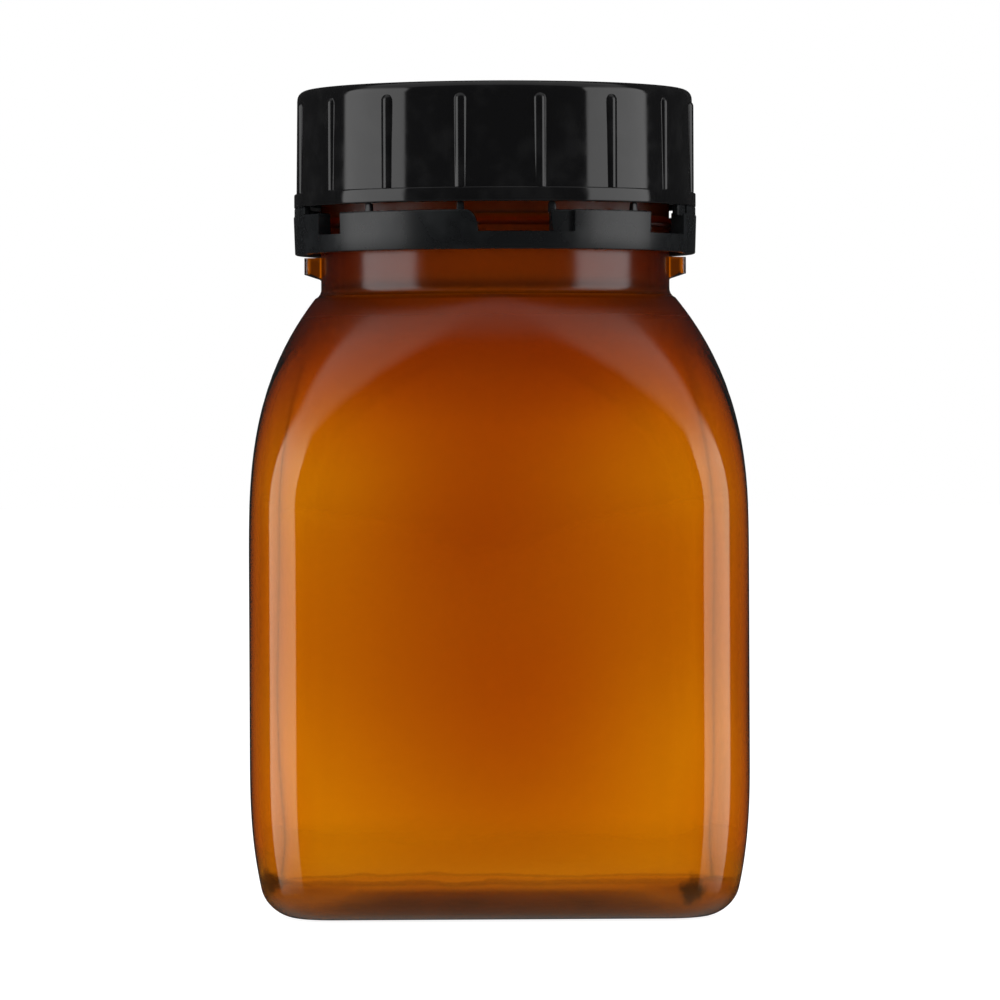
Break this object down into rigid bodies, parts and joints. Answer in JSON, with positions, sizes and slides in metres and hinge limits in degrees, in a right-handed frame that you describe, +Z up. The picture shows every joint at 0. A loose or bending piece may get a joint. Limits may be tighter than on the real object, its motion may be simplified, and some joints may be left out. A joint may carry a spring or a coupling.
{
  "type": "square media bottle",
  "caption": "Clear amber square bottle with a round wide neck, closed by a ribbed black screw cap that has a tamper band below it.",
  "frame": {"origin": "centre of the base, on the surface that the bottle stands on", "axes": "+Z up along the neck and the cap's axis, -Y is the front, +X is to the right seen from the front"},
  "size_m": [0.062, 0.062, 0.1034],
  "materials": {
    "amber_plastic": "clear, polished, tinted amber through its thickness",
    "black_plastic": "gloss moulded, opaque black",
    "liner_plastic": "matt foamed sheet, off-white"
  },
  "bodies": {
    "bottle": {"bottle": "amber_plastic", "tamper_band": "black_plastic"},
    "liner": {"sealing_liner": "liner_plastic"},
    "cap": {"screw_cap": "black_plastic"}
  },
  "joints": [
    {"name": "cap_lift", "type": "slide", "parent": "bottle", "child": "liner", "axis": [0, 0, 1], "range_m": [0, 0.01401]},
    {"name": "cap_turn", "type": "hinge", "parent": "liner", "child": "cap", "pos_m": [0, 0, 0.0959], "axis": [0, 0, 1], "range_deg": [0, 1260]}
  ],
  "couplings": [
    {"joint": "cap_lift", "follows": "cap_turn", "m_per_rad": 0.00063662}
  ]
}
